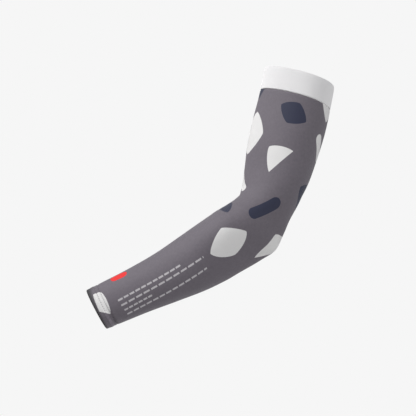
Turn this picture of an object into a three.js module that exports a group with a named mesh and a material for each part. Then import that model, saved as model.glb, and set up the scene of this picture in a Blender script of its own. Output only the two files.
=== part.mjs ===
// An arm warmer in the shape it takes on a bent arm: a stretch-knit sleeve with a turned
// hem at the wrist and a wide elastic band sewn round the upper opening.
// Millimetres, +Z up. The origin is the middle of the upper opening, where the arm goes in.
// +X points to the elbow's side of the bend and -Y to the side that faces outwards.
import * as THREE from "three";
import { LoftGeometry } from "three/addons/geometries/LoftGeometry.js";

// Line of the arm: a straight forearm, a round bend and a straight upper arm.
const FOREARM_RISE_DEG = 25; // climb of the forearm from the wrist to the elbow
const UPPER_TILT_DEG = 12.5; // slant of the upper arm from upright, towards +X
const UPPER_LEAN_DEG = 8; // lean of the upper arm away from the near side, towards +Y
const FOREARM_LENGTH = 187;
const BEND_RADIUS = 110;
const UPPER_LENGTH = 152;

// Cloth and edges.
const CLOTH = 1.2; // one ply of the knit
const BAND_WALL = 1.8; // the doubled elastic of the band
const BAND_HEIGHT = 30;
const BAND_CURL = { length: 5, depth: 1.1 }; // the band's top edge turns in
const SEAM_TUCK = { length: 4, depth: 1.6 }; // the knit is drawn in where the band is sewn on
const HEM_DEPTH = 17;
const GAP = 0.3; // clearance between neighbouring pieces

// Fineness of the surfaces.
const AROUND = 36;
const FOREARM_STEPS = 13;
const BEND_STEPS = 19;
const UPPER_STEPS = 9;
const BAND_STEPS = 4;
const HEM_STEPS = 3;

// Cross sections of the arm from the wrist up. Each reach runs from the arm's line to the
// cloth: crook on the inside of the bend, elbow on its outside, depth to the near and far
// sides. slant tips the section's crook side up the arm, in degrees. swell is the share by
// which the crook's half is deeper than the middle, or the elbow's half where it is below zero.
const SECTIONS = [
  { along: 0, crook: 28.6, elbow: 27.2, depth: 22.5, slant: -3, swell: -0.06 },
  { along: 20, crook: 29.6, elbow: 28.5, depth: 23.5, slant: -1, swell: -0.06 },
  { along: 60, crook: 31.2, elbow: 30.5, depth: 27, slant: 0, swell: -0.03 },
  { along: 100, crook: 34.7, elbow: 33.8, depth: 31.5, slant: 0, swell: 0 },
  { along: 140, crook: 41.4, elbow: 36.5, depth: 36, slant: 0, swell: 0.09 },
  { along: 170, crook: 46.7, elbow: 36, depth: 38.5, slant: 0, swell: 0.34 },
  { along: 195, crook: 50.3, elbow: 33.9, depth: 39.5, slant: 0, swell: 0.46 },
  { along: 214, crook: 49.8, elbow: 35.4, depth: 39, slant: 0, swell: 0.48 },
  { along: 229, crook: 47.9, elbow: 38.5, depth: 38, slant: 0, swell: 0.44 },
  { along: 245, crook: 45.2, elbow: 34.3, depth: 37.5, slant: 0, swell: 0.32 },
  { along: 262, crook: 42.4, elbow: 31.7, depth: 37.5, slant: 0, swell: 0.08 },
  { along: 280, crook: 42.3, elbow: 34.8, depth: 38, slant: 0, swell: -0.16 },
  { along: 305, crook: 43.7, elbow: 41.2, depth: 39.5, slant: 0, swell: -0.27 },
  { along: 340, crook: 47, elbow: 45.8, depth: 42, slant: 1, swell: -0.26 },
  { along: 375, crook: 46.8, elbow: 48.8, depth: 43.5, slant: 2.9, swell: -0.24 },
  { along: 400, crook: 45.8, elbow: 49.2, depth: 44, slant: 4.3, swell: -0.2 },
  { along: 441, crook: 46.2, elbow: 48.4, depth: 43.5, slant: 3.8, swell: -0.14 },
];

// Creases of the knit in the crook of the elbow. around is the angle from the crook's line
// to the near side, length and spread are half sizes along and around the arm.
const CREASES = [
  { along: 263, around: 0, length: 8, spread: 38, depth: 1.3 },
  { along: 249, around: 28, length: 5, spread: 26, depth: 0.8 },
  { along: 249, around: -28, length: 5, spread: 26, depth: 0.8 },
  { along: 279, around: 24, length: 6, spread: 28, depth: 0.7 },
  { along: 279, around: -24, length: 6, spread: 28, depth: 0.7 },
];

const radians = THREE.MathUtils.degToRad;
const BEND = radians(90 - FOREARM_RISE_DEG - UPPER_TILT_DEG);
const BEND_LENGTH = BEND_RADIUS * BEND;
const BEND_END = FOREARM_LENGTH + BEND_LENGTH;
const TOP = BEND_END + UPPER_LENGTH;
const SEAM = TOP - BAND_HEIGHT;

const forearmWay = new THREE.Vector3(
  Math.cos(radians(FOREARM_RISE_DEG)),
  0,
  Math.sin(radians(FOREARM_RISE_DEG)),
);
const forearmCrook = new THREE.Vector3(-forearmWay.z, 0, forearmWay.x);

// Point, direction and crook side of the arm's line at a distance from the wrist. The lean
// grows through the bend, so the line stays smooth.
function armLine(along) {
  const inBend = THREE.MathUtils.clamp(along - FOREARM_LENGTH, 0, BEND_LENGTH);
  const pastBend = Math.max(along - BEND_END, 0);
  const turn = inBend / BEND_RADIUS;
  const flatWay = forearmWay
    .clone()
    .multiplyScalar(Math.cos(turn))
    .addScaledVector(forearmCrook, Math.sin(turn));
  const point = forearmWay
    .clone()
    .multiplyScalar(Math.min(along, FOREARM_LENGTH) + BEND_RADIUS * Math.sin(turn))
    .addScaledVector(forearmCrook, BEND_RADIUS * (1 - Math.cos(turn)))
    .addScaledVector(flatWay, pastBend);
  const lean = Math.tan(radians(UPPER_LEAN_DEG));
  point.y = lean * (inBend ** 2 / (2 * BEND_LENGTH) + pastBend);
  const way = flatWay.clone().setY((lean * inBend) / BEND_LENGTH).normalize();
  const crookSide = new THREE.Vector3(-flatWay.z, 0, flatWay.x);
  const nearSide = way.clone().cross(crookSide);
  return { point, way, crookSide, nearSide };
}

const upperOpening = armLine(TOP).point;

const sectionColumns = ["crook", "elbow", "depth", "slant", "swell"];
const sectionCurve = new THREE.CubicInterpolant(
  SECTIONS.map((row) => row.along),
  SECTIONS.flatMap((row) => sectionColumns.map((column) => row[column])),
  sectionColumns.length,
);

// How far the creases push the cloth in at a place on the arm: each is a smooth hollow that
// fades along and around the arm.
function creaseDepth(along, around) {
  let total = 0;
  for (const crease of CREASES) {
    const fromCrease = around - radians(crease.around);
    const turn = Math.atan2(Math.sin(fromCrease), Math.cos(fromCrease));
    const up = (along - crease.along) / crease.length;
    const across = turn / radians(crease.spread);
    total += crease.depth * Math.exp(-up * up - across * across);
  }
  return total;
}

// Point of the cloth at a distance along the arm and an angle around it, from the crook's
// line to the near side. inset is the depth under the outer skin. The section is an ellipse
// that the swell makes egg-shaped.
function skin(along, around, inset) {
  const [crook, elbow, depth, slant, swell] = sectionCurve.evaluate(along);
  const halfWidth = (crook + elbow) / 2;
  const line = armLine(along + Math.tan(radians(slant)) * halfWidth * Math.cos(around));
  const under = inset + creaseDepth(along, around);
  const across = (crook - elbow) / 2 + (halfWidth - under) * Math.cos(around);
  const deep = (depth * (1 + swell * Math.cos(around)) - under) * Math.sin(around);
  return line.point
    .clone()
    .sub(upperOpening)
    .addScaledVector(line.crookSide, across)
    .addScaledVector(line.nearSide, deep);
}

// Inset of a turned-in edge: nothing at its start and the full depth at the edge itself, on
// a quarter of an ellipse.
function turnIn(distanceToEdge, { length, depth }) {
  const share = THREE.MathUtils.clamp(1 - distanceToEdge / length, 0, 1);
  return depth * (1 - Math.sqrt(1 - share * share));
}

// A closed wall: its profile, a loop of places along the arm and insets, carried round it.
function wall(name, profile, material) {
  const loop = [...profile, profile[0]];
  const rings = loop.map(([along, inset]) =>
    Array.from({ length: AROUND }, (_, i) => skin(along, (2 * Math.PI * i) / AROUND, inset)),
  );
  const mesh = new THREE.Mesh(new LoftGeometry(rings), material);
  mesh.name = name;
  return mesh;
}

// Evenly spaced places from start to end, both included.
function places(start, end, steps) {
  return Array.from({ length: steps + 1 }, (_, i) => THREE.MathUtils.lerp(start, end, i / steps));
}

// A half round of the given radius that closes an edge, from the inner skin to the outer.
function roundEdge(edge, way, inset, radius) {
  return [-90, -45, 0, 45, 90].map((degrees) => [
    edge - way * radius * (1 - Math.cos(radians(degrees))),
    inset - radius * Math.sin(radians(degrees)),
  ]);
}

// The sleeve: one ply that folds inwards at the wrist and is drawn in under the band's seam.
function sleeve(material) {
  const foldRadius = CLOTH + GAP / 2;
  const edge = SEAM - GAP / 2;
  const tuckStart = edge - SEAM_TUCK.length;
  const skinPlaces = [
    ...places(foldRadius, FOREARM_LENGTH, FOREARM_STEPS),
    ...places(FOREARM_LENGTH, BEND_END, BEND_STEPS).slice(1),
    ...places(BEND_END, tuckStart, UPPER_STEPS).slice(1),
    edge - SEAM_TUCK.length * 0.4,
    edge - SEAM_TUCK.length * 0.1,
    edge,
  ];
  const tuck = (along) => turnIn(edge - along, SEAM_TUCK);
  const outer = skinPlaces.map((along) => [along, tuck(along)]);
  const inner = skinPlaces.map((along) => [along, tuck(along) + CLOTH]).reverse();
  const fold = roundEdge(0, -1, foldRadius, foldRadius).slice(0, -1);
  return wall("sleeve", [...fold, ...outer, ...inner], material);
}

// The turned-up ply of the wrist hem, which lies inside the sleeve behind the fold.
function wristHem(material) {
  const start = CLOTH + GAP / 2 + GAP;
  const hemPlaces = places(start, HEM_DEPTH, HEM_STEPS);
  const outer = hemPlaces.map((along) => [along, CLOTH + GAP]);
  const inner = hemPlaces.map((along) => [along, 2 * CLOTH + GAP]).reverse();
  return wall("wrist_hem", [...outer, ...inner], material);
}

// The elastic band, rounded at both edges, with its top edge turned in.
function upperBand(material) {
  const radius = BAND_WALL / 2;
  const start = SEAM + GAP / 2;
  const curlStart = TOP - BAND_CURL.length;
  const curl = (along) => turnIn(TOP - along, BAND_CURL);
  const bandPlaces = [
    ...places(start + radius, curlStart, BAND_STEPS),
    TOP - BAND_CURL.length * 0.45,
    TOP - radius,
  ];
  const outer = bandPlaces.map((along) => [along, curl(along)]);
  const inner = bandPlaces.map((along) => [along, curl(along) + BAND_WALL]).reverse();
  const lowerEdge = roundEdge(start, -1, radius, radius).slice(1, -1);
  const topInset = curl(TOP - radius) + radius;
  const topEdge = roundEdge(TOP, 1, topInset, radius).slice(1, -1).reverse();
  return wall("upper_band", [...lowerEdge, ...outer, ...topEdge, ...inner], material);
}

const greyKnit = new THREE.MeshStandardMaterial({ color: 0x6e686f, roughness: 0.8, metalness: 0 });
const insideKnit = new THREE.MeshStandardMaterial({ color: 0x5f5a61, roughness: 0.85, metalness: 0 });
const whiteElastic = new THREE.MeshStandardMaterial({ color: 0xeae8e6, roughness: 0.75, metalness: 0 });

const armWarmer = new THREE.Group();
armWarmer.add(sleeve(greyKnit), wristHem(insideKnit), upperBand(whiteElastic));

export default armWarmer;
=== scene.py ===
"""Arm warmer: the looks of a printed stretch-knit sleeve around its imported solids.

Lengths of the arm are in millimetres in the tables and functions below, and every mesh is in
metres in the part's own frame: the origin is the middle of the upper opening and +Z is up.
"""

import math

import bpy
import numpy as np
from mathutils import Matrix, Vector


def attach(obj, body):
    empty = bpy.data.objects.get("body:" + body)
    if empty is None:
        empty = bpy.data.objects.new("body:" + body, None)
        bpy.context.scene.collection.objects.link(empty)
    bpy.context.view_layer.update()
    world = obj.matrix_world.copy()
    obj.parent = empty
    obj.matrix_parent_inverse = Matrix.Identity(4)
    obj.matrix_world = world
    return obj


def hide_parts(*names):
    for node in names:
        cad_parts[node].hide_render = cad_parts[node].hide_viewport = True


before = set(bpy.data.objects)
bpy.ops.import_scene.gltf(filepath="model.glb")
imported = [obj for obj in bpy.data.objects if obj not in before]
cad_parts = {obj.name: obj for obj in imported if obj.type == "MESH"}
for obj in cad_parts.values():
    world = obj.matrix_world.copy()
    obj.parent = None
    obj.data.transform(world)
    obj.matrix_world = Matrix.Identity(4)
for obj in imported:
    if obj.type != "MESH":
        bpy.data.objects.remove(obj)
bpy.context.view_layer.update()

bl_info = {
    "name": "Arm Warmer",
    "version": (1, 0, 0),
    "blender": (4, 5, 0),
    "location": "View3D > Sidebar > Arm Warmer",
    "description": "Builds a printed stretch-knit arm warmer and a pale studio round it",
    "category": "Add Mesh",
}

MM = 0.001

# Line of the arm, as in the solids.
FOREARM_RISE = math.radians(25)
UPPER_TILT = math.radians(12.5)
UPPER_LEAN = math.tan(math.radians(8))
FOREARM_LENGTH = 187.0
BEND_RADIUS = 110.0
UPPER_LENGTH = 152.0
BEND_LENGTH = BEND_RADIUS * (math.pi / 2 - FOREARM_RISE - UPPER_TILT)
BEND_END = FOREARM_LENGTH + BEND_LENGTH
TOP = BEND_END + UPPER_LENGTH

# Cloth and edges, as in the solids.
CLOTH = 1.2
BAND_WALL = 1.8
BAND_HEIGHT = 30.0
BAND_CURL = (5.0, 1.1)
SEAM_TUCK = (4.0, 1.6)
HEM_DEPTH = 17.0
GAP = 0.3
SEAM = TOP - BAND_HEIGHT
FAR_SEAM = math.radians(270)

# Relief of the outer skin: height of the doubled hem and of the swell in it, depth of the grooves
# that the hem's two rows of stitches draw and of those along the far side's seam, and the puckers
# between the rows: height, count round the arm and half width along it.
HEM_STEP = 0.4
HEM_SWELL = 0.2
ROW_GROOVES = (0.15, 0.7)
SLEEVE_SEAM_GROOVE = 0.5
BAND_SEAM_GROOVE = 0.35
PUCKER = {"height": 0.06, "count": 58, "half": 6.0}

# Sewing: girth of the cloth at the wrist's hem, share of the pitch that a stitch fills, lift of the
# hem's and the seam's threads off the cloth, share of the looper thread's thickness between its
# middle and the hem, and the two rows beside the far side's seam: shifts around the arm, start
# along it and distance from the band.
WRIST_GIRTH = 166.0
STITCH_SHARE = 0.86
HEM_THREAD_LIFT = 0.15
SEAM_THREAD_LIFT = 0.12
LOOPER_SHARE = 0.42
SEAM_ROWS = (-2.4, 2.4)
SEAM_ROWS_START = 22.0
SEAM_ROWS_SHORT = 8.0

# Cross sections from the wrist up: reach from the arm's line to the cloth on the crook's and
# the elbow's side, reach to the near and far sides, slant of the section in degrees, and swell,
# the share by which its crook's half is deeper than its middle (below zero, its elbow's half).
SECTIONS = np.array(
    [
        (0, 28.6, 27.2, 22.5, -3, -0.06),
        (20, 29.6, 28.5, 23.5, -1, -0.06),
        (60, 31.2, 30.5, 27, 0, -0.03),
        (100, 34.7, 33.8, 31.5, 0, 0),
        (140, 41.4, 36.5, 36, 0, 0.09),
        (170, 46.7, 36, 38.5, 0, 0.34),
        (195, 50.3, 33.9, 39.5, 0, 0.46),
        (214, 49.8, 35.4, 39, 0, 0.48),
        (229, 47.9, 38.5, 38, 0, 0.44),
        (245, 45.2, 34.3, 37.5, 0, 0.32),
        (262, 42.4, 31.7, 37.5, 0, 0.08),
        (280, 42.3, 34.8, 38, 0, -0.16),
        (305, 43.7, 41.2, 39.5, 0, -0.27),
        (340, 47, 45.8, 42, 1, -0.26),
        (375, 46.8, 48.8, 43.5, 2.9, -0.24),
        (400, 45.8, 49.2, 44, 4.3, -0.2),
        (441, 46.2, 48.4, 43.5, 3.8, -0.14),
    ],
    dtype=[(name, float) for name in ("along", "crook", "elbow", "depth", "slant", "swell")],
)

# Creases in the crook: place along the arm, angle from the crook's line to the near side,
# half sizes along (mm) and around (degrees), and depth.
CREASES = np.array(
    [
        (263, 0, 8, 38, 1.3),
        (249, 28, 5, 26, 0.8),
        (249, -28, 5, 26, 0.8),
        (279, 24, 6, 28, 0.7),
        (279, -24, 6, 28, 0.7),
    ],
    dtype=[(name, float) for name in ("along", "around", "length", "spread", "depth")],
)

# Rows of dashes printed along the forearm: place around from the near side's middle line at
# the row's start, start and length along the arm, and the dashes' period.
DASH_ROWS = (
    {"around": 0.5, "start": 32.0, "length": 92.0, "period": 8.5},
    {"around": 8.0, "start": 33.0, "length": 122.0, "period": 11.0},
    {"around": 15.5, "start": 34.0, "length": 42.0, "period": 7.0},
    {"around": 23.0, "start": 35.0, "length": 118.0, "period": 9.5},
)

# Dashes: drift towards the crook for each millimetre along, half width and share of the period.
DASH = {"drift": 0.075, "half_width": 1.2, "share": 0.78}

# Red bar near the wrist: middle, half length of its straight part and radius of its round ends.
RED_BAR = {"around": -33.0, "along": 45.0, "half_line": 5.5, "radius": 6.0}

# Cells of the print whose middle lies in this stretch of the near side stay bare.
BARE_ALONG = (25.0, 180.0)
BARE_AROUND = 70.0
LOZENGE_POWER = 1.35

# Fold at the wrist, darkened by a painted shade: where the painted shade starts and ends and the
# print begins, as distances from the edge, what is left of the cloth's brightness at the edge, and
# by what share the fold is narrower for each millimetre towards the elbow's side. The inner skin
# counts as far away from it.
FOLD = {"start": 0.4, "end": 6.3, "print": 4.2, "least": 0.12, "narrower": 0.014}
INNER_SKIN_AWAY = 1000.0

# Painted light and shade beside the hem's rows of stitches, lighter by the first row and darker by
# the second, on the elbow's side: shift up the arm from each row with the change of shade, half
# width along the arm, and the stretch around it over which they fade in.
PAINTED_WELT_LIGHTS = ((0.0, 0.85), (1.3, -0.3))
PAINTED_WELT_HALF = 2.8
PAINTED_WELT_FADE = (-8.0, 22.0)

# Studio, in metres: places and size of the softboxes, tint of the light from all sides, and level,
# half width, cells along a side and grey of the floor.
KEY_PLACE = (-1.56, -0.83, 1.27)
RIGHT_PLACE = (1.77, -1.09, 0.06)
RIM_PLACE = (-1.7, 0.91, 0.88)
SOFTBOX_SIZE = 1.6
AMBIENT_TINT = (0.98, 1.0, 1.045)
FLOOR_LEVEL = -0.75
FLOOR_HALF = 9.0
FLOOR_CELLS = 12
FLOOR_GREY = 0.6

# Cloth coordinates are kept in a UV map: millimetres around and along, brought into 0 to 1. The
# bake's UV map keeps a margin.
UV_AROUND = 400.0
UV_ALONG = 500.0
BAKE_MARGIN = 0.01


class ArmWarmerSizes(bpy.types.PropertyGroup):
    """Sizes of the cloth's details that a user may change."""

    wale: bpy.props.FloatProperty(
        name="Wale", description="Width of one column of knit loops, in millimetres", default=0.75, min=0.3
    )
    course: bpy.props.FloatProperty(
        name="Course", description="Height of one row of knit loops, in millimetres", default=0.6, min=0.3
    )
    repeat_around: bpy.props.FloatProperty(
        name="Repeat around", description="Width of the print's repeat, in millimetres", default=56.0, min=20
    )
    repeat_along: bpy.props.FloatProperty(
        name="Repeat along", description="Height of the print's repeat, in millimetres", default=64.0, min=20
    )
    stitch_length: bpy.props.FloatProperty(
        name="Stitch length", description="Pitch of the hem's stitches, in millimetres", default=2.7, min=1
    )
    thread: bpy.props.FloatProperty(
        name="Thread", description="Thickness of the sewing thread, in millimetres", default=0.5, min=0.1
    )
    hem_rows: bpy.props.FloatVectorProperty(
        name="Hem rows",
        description="Distance of the two rows of stitches from the wrist's edge, in millimetres",
        size=2,
        default=(11.0, 15.9),
    )


class ArmWarmerColours(bpy.types.PropertyGroup):
    """Colours of the cloth, its print and its thread."""

    ground: bpy.props.FloatVectorProperty(
        name="Ground", description="Mauve grey of the knit", subtype="COLOR", default=(0.1205, 0.1055, 0.1245)
    )
    light: bpy.props.FloatVectorProperty(
        name="Light print",
        description="Off-white of the print",
        subtype="COLOR",
        default=(0.655, 0.645, 0.636),
    )
    dark: bpy.props.FloatVectorProperty(
        name="Dark print", description="Navy of the print", subtype="COLOR", default=(0.013, 0.016, 0.043)
    )
    dash: bpy.props.FloatVectorProperty(
        name="Dashes",
        description="Pale grey of the fine dashes",
        subtype="COLOR",
        default=(0.46, 0.44, 0.455),
    )
    bar: bpy.props.FloatVectorProperty(
        name="Bar",
        description="Red of the small bar near the wrist",
        subtype="COLOR",
        default=(0.7, 0.005, 0.004),
    )
    inside: bpy.props.FloatVectorProperty(
        name="Inside", description="Plain back of the knit", subtype="COLOR", default=(0.26, 0.245, 0.27)
    )
    elastic: bpy.props.FloatVectorProperty(
        name="Elastic", description="Off-white of the band", subtype="COLOR", default=(0.74, 0.731, 0.73)
    )
    thread: bpy.props.FloatVectorProperty(
        name="Thread", description="Grey of the sewing thread", subtype="COLOR", default=(0.14, 0.121, 0.145)
    )


class ArmWarmerStudio(bpy.types.PropertyGroup):
    """Camera and lights of the studio."""

    distance: bpy.props.FloatProperty(
        name="Distance", description="Camera to the origin's plane", unit="LENGTH", default=2.4
    )
    lens: bpy.props.FloatProperty(name="Lens", description="Focal length in millimetres", default=158.4)
    aim: bpy.props.FloatVectorProperty(
        name="Aim",
        description="Place of the picture's middle, x and z",
        unit="LENGTH",
        size=2,
        default=(-0.119, -0.171),
    )
    paper: bpy.props.FloatProperty(
        name="Paper", description="Brightness of the pale background", default=0.9216
    )
    ambient: bpy.props.FloatProperty(
        name="Ambient", description="Strength of the light from all sides", default=0.34
    )
    key: bpy.props.FloatProperty(
        name="Key", description="Power of the softbox at the upper left, in watts", default=54.0
    )
    right: bpy.props.FloatProperty(
        name="Right", description="Power of the softbox at the right, in watts", default=17.0
    )
    rim: bpy.props.FloatProperty(
        name="Rim", description="Power of the softbox behind the left, in watts", default=2.5
    )


def smooth_column(column, along):
    """A cubic curve through one column of SECTIONS: the slope at a row is the mean of the two
    chords beside it, and at an end the slope of the last chord."""
    x, y = SECTIONS["along"], SECTIONS[column]
    chord = np.diff(y) / np.diff(x)
    slope = np.concatenate([chord[:1], (chord[1:] + chord[:-1]) / 2, chord[-1:]])
    at = np.clip(along, x[0], x[-1])
    i = np.clip(np.searchsorted(x, at, side="right") - 1, 0, len(x) - 2)
    h = x[i + 1] - x[i]
    t = (at - x[i]) / h
    start = (1 + 2 * t) * (1 - t) ** 2 * y[i] + t * (1 - t) ** 2 * h * slope[i]
    end = t**2 * (3 - 2 * t) * y[i + 1] + t**2 * (t - 1) * h * slope[i + 1]
    return start + end


def arm_line(along):
    """Point, crook side and near side of the arm's line: a straight forearm, a circular bend and
    a straight upper arm whose lean grows evenly through the bend."""
    along = np.asarray(along, float)
    in_bend = np.clip(along - FOREARM_LENGTH, 0, BEND_LENGTH)
    past = np.maximum(along - BEND_END, 0)[..., None]
    turn = (in_bend / BEND_RADIUS)[..., None]
    rise = np.array([math.cos(FOREARM_RISE), 0, math.sin(FOREARM_RISE)])
    side = np.array([-rise[2], 0, rise[0]])
    flat = np.cos(turn) * rise + np.sin(turn) * side
    straight = np.minimum(along, FOREARM_LENGTH)[..., None]
    point = rise * (straight + BEND_RADIUS * np.sin(turn)) + side * BEND_RADIUS * (1 - np.cos(turn))
    point = point + flat * past
    point[..., 1] = UPPER_LEAN * (in_bend**2 / (2 * BEND_LENGTH) + past[..., 0])
    way = flat.copy()
    way[..., 1] = UPPER_LEAN * in_bend / BEND_LENGTH
    way /= np.linalg.norm(way, axis=-1, keepdims=True)
    crook = np.stack([-flat[..., 2], np.zeros_like(along), flat[..., 0]], -1)
    return point, crook, np.cross(way, crook)


ORIGIN = arm_line(TOP)[0]


def crease_depth(along, around):
    """Sum of smooth hollows, each a bell curve along and around the arm."""
    turn = around[..., None] - np.radians(CREASES["around"])
    turn = np.arctan2(np.sin(turn), np.cos(turn)) / np.radians(CREASES["spread"])
    up = (along[..., None] - CREASES["along"]) / CREASES["length"]
    return (CREASES["depth"] * np.exp(-(up**2) - turn**2)).sum(-1)


def cloth_point(along, around, inset):
    """An egg-shaped ring across the arm's line at each place along it: an ellipse whose depth
    grows by the swell times the cosine of the angle, shrunk by the inset and the creases and
    tipped by the section's slant. In metres from the upper opening."""
    along, around, inset = np.broadcast_arrays(along, around, inset)
    crook, elbow, depth = (smooth_column(c, along) for c in ("crook", "elbow", "depth"))
    half = (crook + elbow) / 2
    tipped = along + np.tan(np.radians(smooth_column("slant", along))) * half * np.cos(around)
    point, crook_side, near_side = arm_line(tipped)
    under = inset + crease_depth(along, around)
    across = (crook - elbow) / 2 + (half - under) * np.cos(around)
    deep = (depth * (1 + smooth_column("swell", along) * np.cos(around)) - under) * np.sin(around)
    return (point - ORIGIN + crook_side * across[..., None] + near_side * deep[..., None]) * MM


def turn_in(distance, edge):
    """Inset of a turned-in edge on a quarter ellipse: none at its start, all at the edge."""
    length, depth = edge
    share = np.clip(1 - distance / length, 0, 1)
    return depth * (1 - np.sqrt(1 - share**2))


def angles(count):
    """Angles round the arm from the far side's seam, through the crook, the near side and the
    elbow, and back to the seam, which comes twice."""
    return FAR_SEAM + np.linspace(0, 2 * math.pi, count + 1)


def arc_around(along, around):
    """Length of cloth from the near side's middle line, along each ring of the outer skin."""
    points = cloth_point(along[:, None], around[None, :], 0.0) / MM
    steps = np.linalg.norm(np.diff(points, axis=1), axis=2)
    arc = np.concatenate([np.zeros((len(along), 1)), np.cumsum(steps, axis=1)], axis=1)
    return arc - arc[:, [(len(around) - 1) // 2]]


def new_object(name, mesh):
    """Links a mesh into the scene as an object at the origin."""
    piece = bpy.data.objects.new(name, mesh)
    bpy.context.scene.collection.objects.link(piece)
    return piece


def mesh_from_quads(name, points, quads):
    """A smooth mesh from an array of points and an array of quads."""
    mesh = bpy.data.meshes.new(name)
    mesh.vertices.add(len(points))
    mesh.vertices.foreach_set("co", points.astype(np.float32).ravel())
    mesh.loops.add(quads.size)
    mesh.loops.foreach_set("vertex_index", quads.astype(np.int32).ravel())
    mesh.polygons.add(len(quads))
    mesh.polygons.foreach_set("loop_start", np.arange(0, quads.size, 4, dtype=np.int32))
    mesh.polygons.foreach_set("use_smooth", np.ones(len(quads), bool))
    mesh.update(calc_edges=True)
    mesh.validate()
    return mesh


def closed_quads(rings, around):
    """Quads of a grid that closes both ways, with the grid corner of each of their corners."""
    i, j = np.meshgrid(np.arange(rings), np.arange(around), indexing="ij")
    i, j = i.ravel(), j.ravel()
    corner_i = np.stack([i, i, i + 1, i + 1], 1)
    corner_j = np.stack([j, j + 1, j + 1, j], 1)
    return (corner_i % rings) * around + corner_j % around, corner_i, corner_j


def ring_wall(name, along, inset, inside, count, relief=None):
    """A wall carried round the arm from a closed profile of places along it and insets.

    relief(along, around) lifts the outer skin. The UV map cloth holds millimetres around and
    along, and the attribute inside is 1 on the inner skin."""
    turn = angles(count)
    lift = relief(along[:, None], turn[None, :]) * (1 - inside[:, None]) if relief else 0.0
    points = cloth_point(along[:, None], turn[None, :], inset[:, None] - lift)[:, :-1]
    quads, corner_i, corner_j = closed_quads(len(along), count)
    mesh = mesh_from_quads(name, points.reshape(-1, 3), quads)
    arc = np.concatenate([arc_around(along, turn)] * 2)[: len(along) + 1]
    place = np.concatenate([along, along[:1]])
    cloth = np.stack([arc[corner_i, corner_j] / UV_AROUND + 0.5, place[corner_i] / UV_ALONG], -1)
    mesh.uv_layers.new(name="cloth").uv.foreach_set("vector", cloth.astype(np.float32).ravel())
    loop = np.stack([along, inset], 1)
    walk = np.linalg.norm(np.diff(np.concatenate([loop, loop[:1]]), axis=0), axis=1)
    walk = np.concatenate([[0], np.cumsum(walk)]) / walk.sum()
    spread = np.stack([corner_j / count, walk[corner_i]], -1) * (1 - 2 * BAKE_MARGIN) + BAKE_MARGIN
    mesh.uv_layers.new(name="OFBake").uv.foreach_set("vector", spread.astype(np.float32).ravel())
    flag = mesh.attributes.new("inside", "FLOAT", "POINT")
    flag.data.foreach_set("value", np.repeat(inside, count).astype(np.float32))
    return new_object(name, mesh)


def half_round(edge, way, inset, radius, count):
    """Places and insets of a half round that closes an edge, from the inner to the outer skin."""
    turn = np.linspace(-math.pi / 2, math.pi / 2, count)
    return edge - way * radius * (1 - np.cos(turn)), inset - radius * np.sin(turn)


def joined(*spans):
    """Joins spans of places, each from its start to its end with a count of steps."""
    parts = [np.linspace(a, b, n + 1)[(0 if k == 0 else 1) :] for k, (a, b, n) in enumerate(spans)]
    return np.concatenate(parts)


def unit(vectors):
    """Vectors brought to length one."""
    return vectors / np.linalg.norm(vectors, axis=-1, keepdims=True)


def stitches(name, along, around, along_step, around_step, length, thread, lift):
    """Short threads lying on the cloth, one at each place: a round bar along the stitch whose
    girth is the root of 1 - t^4 and whose ends sink by t^4, closed by two faces at each end. The
    steps along and around give the way that a stitch points."""
    centre = cloth_point(along, around, -lift)
    ahead = cloth_point(along + along_step, around + around_step, -lift)
    way = unit(ahead - centre)
    out = unit(cloth_point(along, around, -1.0) - cloth_point(along, around, 0.0))
    side = unit(np.cross(out, way))
    rings, corners = 7, 6
    t = np.linspace(-1, 1, rings)
    girth = np.sqrt(np.clip(1 - t**4, 0.02, 1)) * thread / 2
    turn = np.linspace(0, 2 * math.pi, corners, endpoint=False)
    x = np.repeat(t * length / 2, corners)
    y = (girth[:, None] * np.cos(turn)).ravel()
    z = (girth[:, None] * np.sin(turn) - 0.9 * thread * t[:, None] ** 4).ravel()
    bar = way[:, None] * x[:, None] + side[:, None] * y[:, None] + out[:, None] * z[:, None]
    i, j = (g.ravel() for g in np.meshgrid(np.arange(rings - 1), np.arange(corners), indexing="ij"))
    ring, after = i * corners, (j + 1) % corners
    walls = np.stack([ring + j, ring + after, ring + corners + after, ring + corners + j], 1)
    first_end = np.array([(3, 2, 1, 0), (5, 4, 3, 0)])
    last_end = np.array([(0, 1, 2, 3), (0, 3, 4, 5)]) + (rings - 1) * corners
    faces = np.concatenate([walls, first_end, last_end])
    quads = np.arange(len(centre))[:, None, None] * (rings * corners) + faces
    points = (centre[:, None] + bar * MM).reshape(-1, 3)
    return new_object(name, mesh_from_quads(name, points, quads.reshape(-1, 4)))


def closed_cord(name, path, out, radius, sides=6):
    """A round thread along a closed path: circles across the path, set by its way and out."""
    way = unit(np.roll(path, -1, axis=0) - np.roll(path, 1, axis=0))
    side = unit(np.cross(out, way))
    up = np.cross(way, side)
    turn = np.linspace(0, 2 * math.pi, sides, endpoint=False)[None, :, None]
    points = path[:, None] + radius * (side[:, None] * np.cos(turn) + up[:, None] * np.sin(turn))
    quads, _, _ = closed_quads(len(path), sides)
    return new_object(name, mesh_from_quads(name, points.reshape(-1, 3), quads))


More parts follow.
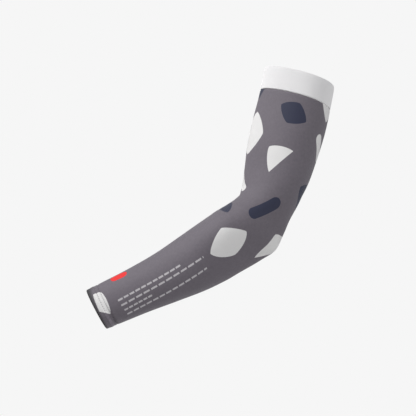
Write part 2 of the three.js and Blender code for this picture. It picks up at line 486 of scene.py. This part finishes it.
class Nodes:
    """Short ways to add nodes to a tree and join them."""

    def __init__(self, tree):
        self.tree = tree

    def add(self, kind, **settings):
        node = self.tree.nodes.new(kind)
        for key, value in settings.items():
            setattr(node, key, value)
        return node

    def feed(self, socket, value):
        if isinstance(value, bpy.types.NodeSocket):
            self.tree.links.new(value, socket)
        else:
            socket.default_value = value

    def math(self, operation, a, b=0.0, c=0.0):
        node = self.add("ShaderNodeMath", operation=operation)
        for socket, value in zip(node.inputs, (a, b, c)):
            self.feed(socket, value)
        return node.outputs[0]

    def mix(self, share, a, b, blend="MIX"):
        node = self.add("ShaderNodeMix", data_type="RGBA", blend_type=blend)
        self.feed(node.inputs["Factor"], share)
        for name, value in (("A", a), ("B", b)):
            socket = next(s for s in node.inputs if s.name == name and s.type == "RGBA")
            self.feed(socket, value if isinstance(value, bpy.types.NodeSocket) else (*value, 1.0))
        return next(s for s in node.outputs if s.type == "RGBA")

    def group(self, tree, **values):
        node = self.add("ShaderNodeGroup", node_tree=tree)
        for key, value in values.items():
            self.feed(node.inputs[key.replace("_", " ")], value)
        return node


def node_group(name, inputs, outputs):
    """An empty shader node group with named sockets, its nodes, inputs and output node. An input is
    a number, or a vector where its default is one, and an output is a number."""
    tree = bpy.data.node_groups.new(name, "ShaderNodeTree")
    for socket, default in inputs:
        kind = "NodeSocketVector" if isinstance(default, tuple) else "NodeSocketFloat"
        item = tree.interface.new_socket(socket, in_out="INPUT", socket_type=kind)
        item.default_value = default
    for socket in outputs:
        tree.interface.new_socket(socket, in_out="OUTPUT", socket_type="NodeSocketFloat")
    nodes = Nodes(tree)
    return tree, nodes, nodes.add("NodeGroupInput").outputs, nodes.add("NodeGroupOutput").inputs


def knit_group():
    """Knit loops: ridges along the wales, crossed by rows that bend into a V over each wale. Height
    feeds the bump, and Shade is a painted shade, darker where the loops lie low.
    """
    tree, n, given, out = node_group(
        "knit loops",
        [("Around", 0.0), ("Along", 0.0), ("Wale", 0.75), ("Course", 0.6)],
        ["Height", "Shade"],
    )
    x = n.math("DIVIDE", given["Around"], given["Wale"])
    y = n.math("DIVIDE", given["Along"], given["Course"])
    slope = n.math("ABSOLUTE", n.math("SUBTRACT", n.math("FRACT", x), 0.5))
    ridge = n.math("ABSOLUTE", n.math("SINE", n.math("MULTIPLY", x, math.pi)))
    rows = n.math("ABSOLUTE", n.math("SINE", n.math("MULTIPLY", n.math("ADD", y, slope), math.pi)))
    height = n.math("MULTIPLY", n.math("POWER", ridge, 0.6), n.math("MULTIPLY_ADD", rows, 0.45, 0.55))
    n.feed(out["Height"], height)
    # Painted shade: the colour is darkened where the loops lie low.
    n.feed(out["Shade"], n.math("MULTIPLY_ADD", height, 0.16, 0.9))
    return tree


def uneven_group():
    """Faint unevenness of a cloth's shade: noise brought to a span around one."""
    tree, n, given, out = node_group(
        "uneven shade", [("Place", (0.0, 0.0, 0.0)), ("Scale", 30.0), ("Span", 0.06)], ["Shade"]
    )
    noise = n.add("ShaderNodeTexNoise")
    noise.inputs["Detail"].default_value = 3.0
    n.feed(noise.inputs["Vector"], given["Place"])
    n.feed(noise.inputs["Scale"], given["Scale"])
    off = n.math("SUBTRACT", noise.outputs["Fac"], 0.5)
    n.feed(out["Shade"], n.math("MULTIPLY_ADD", off, given["Span"], 1.0))
    return tree


def lozenge_group():
    """A soft lozenge turned by an angle: |x/a|^p + |y/b|^p below 1, cut to y above a line."""
    tree, n, given, out = node_group(
        "lozenge motif",
        [
            ("X", 0.0),
            ("Y", 0.0),
            ("Turn", 0.0),
            ("Half width", 18.0),
            ("Half length", 24.0),
            ("Cut", -1000.0),
        ],
        ["Mask"],
    )
    cos, sin = n.math("COSINE", given["Turn"]), n.math("SINE", given["Turn"])
    x = n.math("ADD", n.math("MULTIPLY", given["X"], cos), n.math("MULTIPLY", given["Y"], sin))
    y = n.math("SUBTRACT", n.math("MULTIPLY", given["Y"], cos), n.math("MULTIPLY", given["X"], sin))
    a = n.math("ABSOLUTE", n.math("DIVIDE", x, given["Half width"]))
    b = n.math("ABSOLUTE", n.math("DIVIDE", y, given["Half length"]))
    a, b = n.math("POWER", a, LOZENGE_POWER), n.math("POWER", b, LOZENGE_POWER)
    inside = n.math("LESS_THAN", n.math("ADD", a, b), 1.0)
    n.feed(out["Mask"], n.math("MULTIPLY", inside, n.math("GREATER_THAN", y, given["Cut"])))
    return tree


def bar_group():
    """A bar with round ends, turned by an angle: points within a radius of a straight line."""
    tree, n, given, out = node_group(
        "round bar motif",
        [("X", 0.0), ("Y", 0.0), ("Turn", 0.0), ("Half line", 12.0), ("Radius", 7.0)],
        ["Mask"],
    )
    cos, sin = n.math("COSINE", given["Turn"]), n.math("SINE", given["Turn"])
    x = n.math("ADD", n.math("MULTIPLY", given["X"], cos), n.math("MULTIPLY", given["Y"], sin))
    y = n.math("SUBTRACT", n.math("MULTIPLY", given["Y"], cos), n.math("MULTIPLY", given["X"], sin))
    past = n.math("MAXIMUM", n.math("SUBTRACT", n.math("ABSOLUTE", y), given["Half line"]), 0.0)
    far = n.math("SQRT", n.math("ADD", n.math("MULTIPLY", x, x), n.math("MULTIPLY", past, past)))
    n.feed(out["Mask"], n.math("LESS_THAN", far, given["Radius"]))
    return tree


def dash_group():
    """A row of dashes along the arm: a narrow strip that drifts towards the crook, from a start
    and over a length, cut by a period."""
    tree, n, given, out = node_group(
        "dash row",
        [("Around", 0.0), ("Along", 0.0), ("Row", 0.0), ("Start", 0.0), ("Length", 90.0), ("Period", 9.0)],
        ["Mask"],
    )
    past = n.math("SUBTRACT", given["Along"], given["Start"])
    drift = n.math("MULTIPLY", past, DASH["drift"])
    off = n.math("ADD", n.math("SUBTRACT", given["Around"], given["Row"]), drift)
    on_row = n.math("LESS_THAN", n.math("ABSOLUTE", off), DASH["half_width"])
    within = n.math("MULTIPLY", n.math("GREATER_THAN", past, 0.0), n.math("LESS_THAN", past, given["Length"]))
    dash = n.math("LESS_THAN", n.math("FRACT", n.math("DIVIDE", past, given["Period"])), DASH["share"])
    n.feed(out["Mask"], n.math("MULTIPLY", n.math("MULTIPLY", on_row, within), dash))
    return tree


def painted_welt_light_group():
    """Painted highlight or painted shade beside a row of stitches, by the sign of its change: a hump along
    the arm, (1 - d^2)^2 within a half width, that fades out from the elbow's side to the crook's."""
    tree, n, given, out = node_group(
        "painted stitch light",
        [("Around", 0.0), ("Along", 0.0), ("Place", 10.0), ("Half width", 2.0), ("Change", 0.2)],
        ["Shade"],
    )
    off = n.math("DIVIDE", n.math("SUBTRACT", given["Along"], given["Place"]), given["Half width"])
    hump = n.math("MAXIMUM", n.math("SUBTRACT", 1.0, n.math("MULTIPLY", off, off)), 0.0)
    fade = n.add("ShaderNodeMapRange", interpolation_type="SMOOTHSTEP")
    n.feed(fade.inputs["Value"], given["Around"])
    fade.inputs["From Min"].default_value = PAINTED_WELT_FADE[0]
    fade.inputs["From Max"].default_value = PAINTED_WELT_FADE[1]
    change = n.math("MULTIPLY", given["Change"], fade.outputs["Result"])
    n.feed(out["Shade"], n.math("MULTIPLY_ADD", n.math("MULTIPLY", hump, hump), change, 1.0))
    return tree


def print_group(lozenge, bar):
    """A half-drop repeat: the cloth is cut into cells, every other column half a cell lower, and
    each cell holds one of five motifs by its column and row. Cells on the near side of the
    forearm stay bare."""
    tree, n, given, out = node_group(
        "half drop print",
        [("Around", 0.0), ("Along", 0.0), ("Repeat around", 56.0), ("Repeat along", 64.0)],
        ["Light", "Dark"],
    )
    column = n.math("FLOOR", n.math("ADD", n.math("DIVIDE", given["Around"], given["Repeat around"]), 0.5))
    half_repeat = n.math("MULTIPLY", given["Repeat along"], 0.5)
    drop = n.math("MULTIPLY", n.math("FLOORED_MODULO", column, 2.0), half_repeat)
    dropped = n.math("SUBTRACT", given["Along"], drop)
    row = n.math("FLOOR", n.math("ADD", n.math("DIVIDE", dropped, given["Repeat along"]), 0.5))
    middle_around = n.math("MULTIPLY", column, given["Repeat around"])
    middle_along = n.math("MULTIPLY", row, given["Repeat along"])
    x = n.math("SUBTRACT", given["Around"], middle_around)
    y = n.math("SUBTRACT", dropped, middle_along)
    kind = n.math("FLOORED_MODULO", n.math("ADD", n.math("MULTIPLY_ADD", column, 2.0, row), 2.0), 5.0)
    place = n.math("ADD", middle_along, drop)
    low = n.math("GREATER_THAN", place, BARE_ALONG[0])
    high = n.math("LESS_THAN", place, BARE_ALONG[1])
    near = n.math("LESS_THAN", n.math("ABSOLUTE", middle_around), BARE_AROUND)
    bare = n.math("MULTIPLY", n.math("MULTIPLY", low, high), near)
    shown = n.math("SUBTRACT", 1.0, bare)

    def of_kind(number, motif):
        chosen = n.math("COMPARE", kind, float(number), 0.25)
        return n.math("MULTIPLY", n.math("MULTIPLY", motif.outputs["Mask"], chosen), shown)

    full = n.group(lozenge, X=x, Y=y, Turn=0.0, Half_width=21.0, Half_length=27.0)
    half = n.group(lozenge, X=x, Y=y, Turn=0.9, Half_width=20.0, Half_length=26.0, Cut=0.0)
    small = n.group(lozenge, X=x, Y=y, Turn=1.2, Half_width=15.0, Half_length=20.0)
    rising = n.group(bar, X=x, Y=y, Turn=-0.65, Half_line=15.0, Radius=7.5)
    falling = n.group(bar, X=x, Y=y, Turn=0.65, Half_line=13.0, Radius=7.0)
    light = n.math("MAXIMUM", of_kind(0, full), n.math("MAXIMUM", of_kind(2, half), of_kind(4, falling)))
    dark = n.math("MAXIMUM", of_kind(1, rising), of_kind(3, small))
    n.feed(out["Light"], light)
    n.feed(out["Dark"], dark)
    return tree


def cloth_places(n):
    """Millimetres around and along the cloth, from its UV map."""
    split = n.add("ShaderNodeSeparateXYZ")
    n.feed(split.inputs[0], n.add("ShaderNodeUVMap", uv_map="cloth").outputs[0])
    around = n.math("MULTIPLY", n.math("SUBTRACT", split.outputs[0], 0.5), UV_AROUND)
    return around, n.math("MULTIPLY", split.outputs[1], UV_ALONG)


def new_material(name, roughness, specular, sheen):
    """A cloth-like material: its nodes and its shader."""
    material = bpy.data.materials.new(name)
    material.use_nodes = True
    n = Nodes(material.node_tree)
    shader = material.node_tree.nodes["Principled BSDF"]
    shader.inputs["Roughness"].default_value = roughness
    shader.inputs["Specular IOR Level"].default_value = specular
    shader.inputs["Sheen Weight"].default_value = sheen
    shader.inputs["Sheen Roughness"].default_value = 0.45
    return material, n, shader


def set_bump(n, shader, height, strength, distance):
    """Turns a height into the shader's normal."""
    bump = n.add("ShaderNodeBump")
    bump.inputs["Strength"].default_value = strength
    bump.inputs["Distance"].default_value = distance
    n.feed(bump.inputs["Height"], height)
    n.feed(shader.inputs["Normal"], bump.outputs["Normal"])


def uneven(n, groups, scale, span):
    """Places the uneven shade in a material, on the piece's Object coordinates."""
    place = n.add("ShaderNodeTexCoord").outputs["Object"]
    return n.group(groups["uneven"], Place=place, Scale=scale, Span=span).outputs["Shade"]


def shaded(n, colour, *shades):
    """A colour made lighter or darker by numbers around one."""
    for shade in shades:
        grey = n.add("ShaderNodeCombineColor")
        for socket in grey.inputs:
            n.feed(socket, shade)
        colour = n.mix(1.0, colour, grey.outputs[0], "MULTIPLY")
    return colour


def wrist_places(n, around, along):
    """Millimetres towards the elbow's side from the near and far middle lines at the wrist, which
    is a triangle wave over the girth, and the distance from the wrist's edge, stretched towards
    the elbow's side so that the fold's painted shade and the print's start are narrower there."""
    quarter = WRIST_GIRTH / 4
    wave = n.math("PINGPONG", n.math("ADD", around, quarter), 2 * quarter)
    to_elbow = n.math("SUBTRACT", wave, quarter)
    stretch = n.math("MULTIPLY_ADD", to_elbow, FOLD["narrower"], 1.0)
    return to_elbow, n.math("MULTIPLY", along, stretch)


def painted_fold_shade(n, from_edge, back):
    """Painted shade of the outer skin at the wrist's fold: the colour is darkened by a smooth step
    away from the edge. The inner skin counts as far past the step's end, so it keeps its brightness."""
    step = n.add("ShaderNodeMapRange", interpolation_type="SMOOTHSTEP")
    n.feed(step.inputs["Value"], n.math("ADD", from_edge, n.math("MULTIPLY", back, INNER_SKIN_AWAY)))
    step.inputs["From Min"].default_value = FOLD["start"]
    step.inputs["From Max"].default_value = FOLD["end"]
    step.inputs["To Min"].default_value = FOLD["least"]
    return step.outputs["Result"]


def printed_knit(groups, sizes, colours):
    """Grey knit whose outer skin has a print, dashes and a red bar, all past the wrist's fold, which is
    darkened by a painted shade, and painted light and shade beside the hem's stitches. Its back is plain."""
    material, n, shader = new_material("printed knit", roughness=0.7, specular=0.5, sheen=0.2)
    around, along = cloth_places(n)
    loops = n.group(groups["knit"], Around=around, Along=along, Wale=sizes.wale, Course=sizes.course)
    motif = n.group(
        groups["print"],
        Around=around,
        Along=along,
        Repeat_around=sizes.repeat_around,
        Repeat_along=sizes.repeat_along,
    )
    to_elbow, from_edge = wrist_places(n, around, along)
    past_fold = n.math("GREATER_THAN", from_edge, FOLD["print"])
    ground = shaded(n, tuple(colours.ground), uneven(n, groups, scale=360.0, span=0.34))
    dark, light = (n.math("MULTIPLY", motif.outputs[tone], past_fold) for tone in ("Dark", "Light"))
    colour = n.mix(dark, ground, tuple(colours.dark))
    colour = n.mix(light, colour, tuple(colours.light))
    for row in DASH_ROWS:
        dash = n.group(
            groups["dash"],
            Around=around,
            Along=along,
            Row=row["around"],
            Start=row["start"],
            Length=row["length"],
            Period=row["period"],
        )
        colour = n.mix(dash.outputs["Mask"], colour, tuple(colours.dash))
    bar = n.group(
        groups["bar"],
        X=n.math("SUBTRACT", around, RED_BAR["around"]),
        Y=n.math("SUBTRACT", along, RED_BAR["along"]),
        Turn=0.0,
        Half_line=RED_BAR["half_line"],
        Radius=RED_BAR["radius"],
    )
    colour = n.mix(bar.outputs["Mask"], colour, tuple(colours.bar))
    back = n.add("ShaderNodeAttribute", attribute_name="inside").outputs["Fac"]
    colour = n.mix(back, colour, tuple(colours.inside))
    clouds = uneven(n, groups, scale=26.0, span=0.08)
    # Shades on the colour: the loops' painted shade, random clouds of tone and the fold's painted shade.
    shades = [loops.outputs["Shade"], clouds, painted_fold_shade(n, from_edge, back)]
    # Painted light and shade beside the hem's rows of stitches.
    for row, (shift, change) in zip(sizes.hem_rows, PAINTED_WELT_LIGHTS):
        welt_light = n.group(
            groups["welt_light"],
            Around=to_elbow,
            Along=along,
            Place=row + shift,
            Half_width=PAINTED_WELT_HALF,
            Change=change,
        )
        shades.append(welt_light.outputs["Shade"])
    colour = shaded(n, colour, *shades)
    n.feed(shader.inputs["Base Color"], colour)
    set_bump(n, shader, loops.outputs["Height"], strength=0.35, distance=0.0002)
    return material


def plain_knit(name, groups, colour, wale, course, roughness, specular):
    """Matt cloth of one colour with knit loops, darkened by a painted shade where they lie low."""
    material, n, shader = new_material(name, roughness, specular, sheen=0.02)
    shader.inputs["Diffuse Roughness"].default_value = 0.4
    around, along = cloth_places(n)
    loops = n.group(groups["knit"], Around=around, Along=along, Wale=wale, Course=course)
    shades = (loops.outputs["Shade"], uneven(n, groups, scale=30.0, span=0.06))
    n.feed(shader.inputs["Base Color"], shaded(n, tuple(colour), *shades))
    set_bump(n, shader, loops.outputs["Height"], strength=0.3, distance=0.0002)
    return material


def sewing_thread(colours):
    """Matt thread with a fine twist, bumped and darkened by a painted shade in its low bands."""
    material, n, shader = new_material("sewing thread", roughness=0.6, specular=0.4, sheen=0.1)
    twist = n.add("ShaderNodeTexWave", wave_type="BANDS", bands_direction="DIAGONAL")
    twist.inputs["Scale"].default_value = 900.0
    n.feed(twist.inputs["Vector"], n.add("ShaderNodeTexCoord").outputs["Object"])
    # Painted shade: the twist's low bands are darker.
    shade = n.math("MULTIPLY_ADD", twist.outputs["Fac"], 0.3, 0.82)
    n.feed(shader.inputs["Base Color"], shaded(n, tuple(colours.thread), shade))
    set_bump(n, shader, twist.outputs["Fac"], strength=0.3, distance=0.0001)
    return material


def effect_groups():
    """The node groups that the materials share, each built once."""
    if "knit loops" not in bpy.data.node_groups:
        knit_group()
        uneven_group()
        print_group(lozenge_group(), bar_group())
        dash_group()
        painted_welt_light_group()
    named = bpy.data.node_groups
    return {
        "knit": named["knit loops"],
        "uneven": named["uneven shade"],
        "print": named["half drop print"],
        "bar": named["round bar motif"],
        "dash": named["dash row"],
        "welt_light": named["painted stitch light"],
    }


def finish_piece(piece, material, node=None):
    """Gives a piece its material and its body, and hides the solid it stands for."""
    piece.data.materials.append(material)
    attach(piece, "root")
    if node:
        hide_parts(node)
    return piece


def bell(place, middle, half):
    """A bell curve: one at its middle, and 1/e at a half width from it."""
    return np.exp(-(((place - middle) / half) ** 2))


def off_seam(around):
    """Angle from the far side's seam, between minus pi and pi."""
    return np.arctan2(np.sin(around - FAR_SEAM), np.cos(around - FAR_SEAM))


def hem_relief(rows):
    """Relief of the sleeve's outer skin: the doubled cloth of the hem stands proud and swells up to
    its first row of stitches, each row draws a groove, the second one's deeper, the cloth puckers
    between them, and a shallow groove runs down the far side's seam."""

    def relief(along, around):
        step = HEM_STEP / 2 * (1 - np.tanh((along - rows[0] + 0.7) / 0.9))
        swell = HEM_SWELL * bell(along, rows[0] - 2.8, 1.8)
        first = ROW_GROOVES[0] * bell(along, rows[0], 0.8)
        second = ROW_GROOVES[1] * bell(along, rows[1], 0.95)
        waves = PUCKER["height"] * np.sin(PUCKER["count"] * around)
        pucker = waves * bell(along, np.mean(rows), PUCKER["half"])
        seam = SLEEVE_SEAM_GROOVE * bell(off_seam(around), 0, 0.022)
        return step + swell - (first + second) + pucker - seam

    return relief


class ARMWARMER_OT_sleeve(bpy.types.Operator):
    """Add the printed knit sleeve, folded in at the wrist and drawn in under the band"""

    bl_idname = "arm_warmer.sleeve"
    bl_label = "Sleeve"

    def execute(self, context):
        sizes, colours = context.scene.arm_warmer_sizes, context.scene.arm_warmer_colours
        fold = CLOTH + GAP / 2
        edge = SEAM - GAP / 2
        past_hem, near_edge = 20, edge - 6
        outer = joined(
            (fold, past_hem, 42),
            (past_hem, FOREARM_LENGTH, 96),
            (FOREARM_LENGTH, BEND_END, 76),
            (BEND_END, near_edge, 64),
            (near_edge, edge, 14),
        )
        inner = joined(
            (fold, FOREARM_LENGTH, 36),
            (FOREARM_LENGTH, BEND_END, 34),
            (BEND_END, near_edge, 22),
            (near_edge, edge, 8),
        )[::-1]
        fold_along, fold_inset = half_round(0, -1, fold, fold, 11)
        tuck_out, tuck_in = turn_in(edge - outer, SEAM_TUCK), turn_in(edge - inner, SEAM_TUCK)
        along = np.concatenate([fold_along[:-1], outer, inner])
        inset = np.concatenate([fold_inset[:-1], tuck_out, tuck_in + CLOTH])
        inside = np.concatenate([np.zeros(len(fold_along) - 1 + len(outer)), np.ones(len(inner))])
        relief = hem_relief(tuple(sizes.hem_rows))
        piece = ring_wall("sleeve_cloth", along, inset, inside, count=200, relief=relief)
        finish_piece(piece, printed_knit(effect_groups(), sizes, colours), "sleeve")
        return {"FINISHED"}


class ARMWARMER_OT_wrist_hem(bpy.types.Operator):
    """Add the turned-up ply of the wrist hem"""

    bl_idname = "arm_warmer.wrist_hem"
    bl_label = "Wrist hem"

    def execute(self, context):
        sizes, colours = context.scene.arm_warmer_sizes, context.scene.arm_warmer_colours
        radius = CLOTH / 2
        start = CLOTH + GAP / 2 + GAP
        skin = np.linspace(start, HEM_DEPTH - radius, 14)
        top_along, top_inset = half_round(HEM_DEPTH, 1, CLOTH + GAP + radius, radius, 7)
        along = np.concatenate([skin, top_along[::-1][1:-1], skin[::-1]])
        inset = np.concatenate(
            [np.full(len(skin), CLOTH + GAP), top_inset[::-1][1:-1], np.full(len(skin), 2 * CLOTH + GAP)]
        )
        piece = ring_wall("wrist_hem_ply", along, inset, np.ones(len(along)), count=160)
        material = plain_knit(
            "knit back",
            effect_groups(),
            colours.inside,
            sizes.wale,
            sizes.course,
            roughness=0.8,
            specular=0.3,
        )
        finish_piece(piece, material, "wrist_hem")
        return {"FINISHED"}


class ARMWARMER_OT_band(bpy.types.Operator):
    """Add the wide elastic band round the upper opening"""

    bl_idname = "arm_warmer.band"
    bl_label = "Elastic band"

    def execute(self, context):
        colours = context.scene.arm_warmer_colours
        radius = BAND_WALL / 2
        start = SEAM + GAP / 2
        skin = joined((start + radius, TOP - BAND_CURL[0], 34), (TOP - BAND_CURL[0], TOP - radius, 12))
        curl = turn_in(TOP - skin, BAND_CURL)
        low_along, low_inset = half_round(start, -1, radius, radius, 9)
        top_along, top_inset = half_round(TOP, 1, turn_in(radius, BAND_CURL) + radius, radius, 11)
        along = np.concatenate([low_along[1:-1], skin, top_along[::-1][1:-1], skin[::-1]])
        inset = np.concatenate([low_inset[1:-1], curl, top_inset[::-1][1:-1], curl[::-1] + BAND_WALL])

        def relief(along, around):
            return -BAND_SEAM_GROOVE * bell(off_seam(around), 0, 0.02)

        piece = ring_wall("elastic_band", along, inset, np.zeros(len(along)), count=220, relief=relief)
        material = plain_knit(
            "smooth elastic",
            effect_groups(),
            colours.elastic,
            wale=0.6,
            course=0.9,
            roughness=0.8,
            specular=0.1,
        )
        finish_piece(piece, material, "upper_band")
        return {"FINISHED"}


class ARMWARMER_OT_stitching(bpy.types.Operator):
    """Add the twin rows of hem stitches, their looper thread inside and the far side's seam"""

    bl_idname = "arm_warmer.stitching"
    bl_label = "Stitching"

    def execute(self, context):
        sizes, colours = context.scene.arm_warmer_sizes, context.scene.arm_warmer_colours
        thread = sewing_thread(colours)
        sewn = [bpy.data.objects["wrist_hem_ply"]]
        rows = tuple(sizes.hem_rows)
        count = int(round(WRIST_GIRTH / sizes.stitch_length))
        turn = np.linspace(0, 2 * math.pi, count, endpoint=False)
        length = sizes.stitch_length * STITCH_SHARE
        for number, row in enumerate(rows):
            along, around = np.full(count, row), turn + number * math.pi / count
            lift = hem_relief(rows)(row, 0.0) + HEM_THREAD_LIFT
            name = f"hem_stitches_{number + 1}"
            sewn.append(stitches(name, along, around, 0.0, 0.01, length, sizes.thread, lift))
        points_each = 8
        step = np.arange(count * points_each) / points_each
        zigzag = np.abs((step % 1) * 2 - 1)
        around = 2 * math.pi * step / count
        along = rows[0] + (rows[1] - rows[0]) * (0.5 - 0.5 * np.cos(math.pi * zigzag))
        deep = 2 * CLOTH + GAP + sizes.thread * LOOPER_SHARE
        path = cloth_point(along, around, deep)
        out = unit(cloth_point(along, around, deep + 1) - path)
        sewn.append(closed_cord("hem_looper_thread", path, out, sizes.thread / 2 * MM))
        places = np.arange(SEAM_ROWS_START, SEAM - SEAM_ROWS_SHORT, sizes.stitch_length)
        for number, shift in enumerate(SEAM_ROWS):
            around = FAR_SEAM + shift / smooth_column("crook", places)
            name = f"seam_stitches_{number + 1}"
            sewn.append(stitches(name, places, around, 0.4, 0.0, length, sizes.thread, SEAM_THREAD_LIFT))
        for piece in sewn[1:]:
            finish_piece(piece, thread)
        return {"FINISHED"}


def softbox(name, place, aim, power):
    """A square area light that points at a place."""
    data = bpy.data.lights.new(name, "AREA")
    data.energy = power
    data.size = SOFTBOX_SIZE
    lamp = bpy.data.objects.new(name, data)
    lamp.location = place
    lamp.rotation_euler = (Vector(aim) - Vector(place)).to_track_quat("-Z", "Y").to_euler()
    bpy.context.scene.collection.objects.link(lamp)


def paper_shader(tree, surface, seen, lit):
    """Shows one shader to the camera and lights the object by another."""
    n = Nodes(tree)
    mix = n.add("ShaderNodeMixShader")
    n.feed(mix.inputs[0], n.add("ShaderNodeLightPath").outputs["Is Camera Ray"])
    n.feed(mix.inputs[1], lit)
    n.feed(mix.inputs[2], seen)
    n.feed(surface, mix.outputs[0])


def pale_floor(tone):
    """A flat square grid below the part, with an even pale tone to the camera."""
    side = np.linspace(-FLOOR_HALF, FLOOR_HALF, FLOOR_CELLS + 1)
    x, y = np.meshgrid(side, side, indexing="ij")
    points = np.stack([x, y, np.full_like(x, FLOOR_LEVEL)], -1)
    cells, row = np.arange(FLOOR_CELLS), FLOOR_CELLS + 1
    i, j = (g.ravel() for g in np.meshgrid(cells, cells, indexing="ij"))
    corner = i * row + j
    quads = np.stack([corner, corner + row, corner + row + 1, corner + 1], 1)
    floor = new_object("floor", mesh_from_quads("floor", points.reshape(-1, 3), quads))
    paper = bpy.data.materials.new("pale floor")
    paper.use_nodes = True
    tree = paper.node_tree
    glow = Nodes(tree).add("ShaderNodeEmission")
    glow.inputs["Color"].default_value = (tone, tone, tone, 1)
    matt = tree.nodes["Principled BSDF"]
    matt.inputs["Base Color"].default_value = (FLOOR_GREY, FLOOR_GREY, FLOOR_GREY, 1)
    matt.inputs["Roughness"].default_value = 0.9
    surface = tree.nodes["Material Output"].inputs["Surface"]
    paper_shader(tree, surface, glow.outputs[0], matt.outputs[0])
    floor.data.materials.append(paper)
    return floor


def studio_world(tone, ambient):
    """A world with an even pale tone to the camera and a faintly cool light from all sides."""
    world = bpy.data.worlds.new("studio")
    world.use_nodes = True
    tree = world.node_tree
    seen = Nodes(tree).add("ShaderNodeBackground")
    seen.inputs["Color"].default_value = (tone, tone, tone, 1)
    lit = tree.nodes["Background"]
    lit.inputs["Color"].default_value = (*AMBIENT_TINT, 1)
    lit.inputs["Strength"].default_value = ambient
    paper_shader(tree, tree.nodes["World Output"].inputs["Surface"], seen.outputs[0], lit.outputs[0])
    return world


class ARMWARMER_OT_stage(bpy.types.Operator):
    """Add the pale floor, the soft lights and the camera"""

    bl_idname = "arm_warmer.stage"
    bl_label = "Studio"

    def execute(self, context):
        studio = context.scene.arm_warmer_studio
        floor = pale_floor(studio.paper)
        context.scene.world = studio_world(studio.paper, studio.ambient)
        middle = (studio.aim[0], 0.0, studio.aim[1])
        softbox("key softbox", KEY_PLACE, middle, studio.key)
        softbox("right softbox", RIGHT_PLACE, middle, studio.right)
        softbox("rim softbox", RIM_PLACE, middle, studio.rim)
        data = bpy.data.cameras.new("camera")
        data.lens = studio.lens
        data.sensor_width = 36
        camera = bpy.data.objects.new("camera", data)
        camera.location = (studio.aim[0], -studio.distance, studio.aim[1])
        camera.rotation_euler = (math.pi / 2, 0, 0)
        context.scene.collection.objects.link(camera)
        context.scene.camera = camera
        context.scene.view_settings.view_transform = "Standard"
        return {"FINISHED"}


class ARMWARMER_PT_panel(bpy.types.Panel):
    """Lists the steps that build the arm warmer"""

    bl_label = "Arm Warmer"
    bl_idname = "ARMWARMER_PT_panel"
    bl_space_type = "VIEW_3D"
    bl_region_type = "UI"
    bl_category = "Arm Warmer"

    def draw(self, context):
        for step in STEPS:
            self.layout.operator(step.bl_idname)
        for group in ("arm_warmer_sizes", "arm_warmer_colours", "arm_warmer_studio"):
            settings = getattr(context.scene, group)
            box = self.layout.box()
            for name in settings.__annotations__:
                box.prop(settings, name)


SETTINGS = {
    "arm_warmer_sizes": ArmWarmerSizes,
    "arm_warmer_colours": ArmWarmerColours,
    "arm_warmer_studio": ArmWarmerStudio,
}
STEPS = (
    ARMWARMER_OT_sleeve,
    ARMWARMER_OT_wrist_hem,
    ARMWARMER_OT_band,
    ARMWARMER_OT_stitching,
    ARMWARMER_OT_stage,
)


def register():
    """Registers the settings, the steps and the panel."""
    for name, group in SETTINGS.items():
        bpy.utils.register_class(group)
        setattr(bpy.types.Scene, name, bpy.props.PointerProperty(type=group))
    for step in (*STEPS, ARMWARMER_PT_panel):
        bpy.utils.register_class(step)


def unregister():
    """Takes back what register added."""
    for step in reversed((*STEPS, ARMWARMER_PT_panel)):
        bpy.utils.unregister_class(step)
    for name, group in reversed(SETTINGS.items()):
        delattr(bpy.types.Scene, name)
        bpy.utils.unregister_class(group)


def main():
    """Builds every piece and the studio."""
    register()
    bpy.ops.arm_warmer.sleeve()
    bpy.ops.arm_warmer.wrist_hem()
    bpy.ops.arm_warmer.band()
    bpy.ops.arm_warmer.stitching()
    bpy.ops.arm_warmer.stage()


if __name__ == "__main__":
    main()
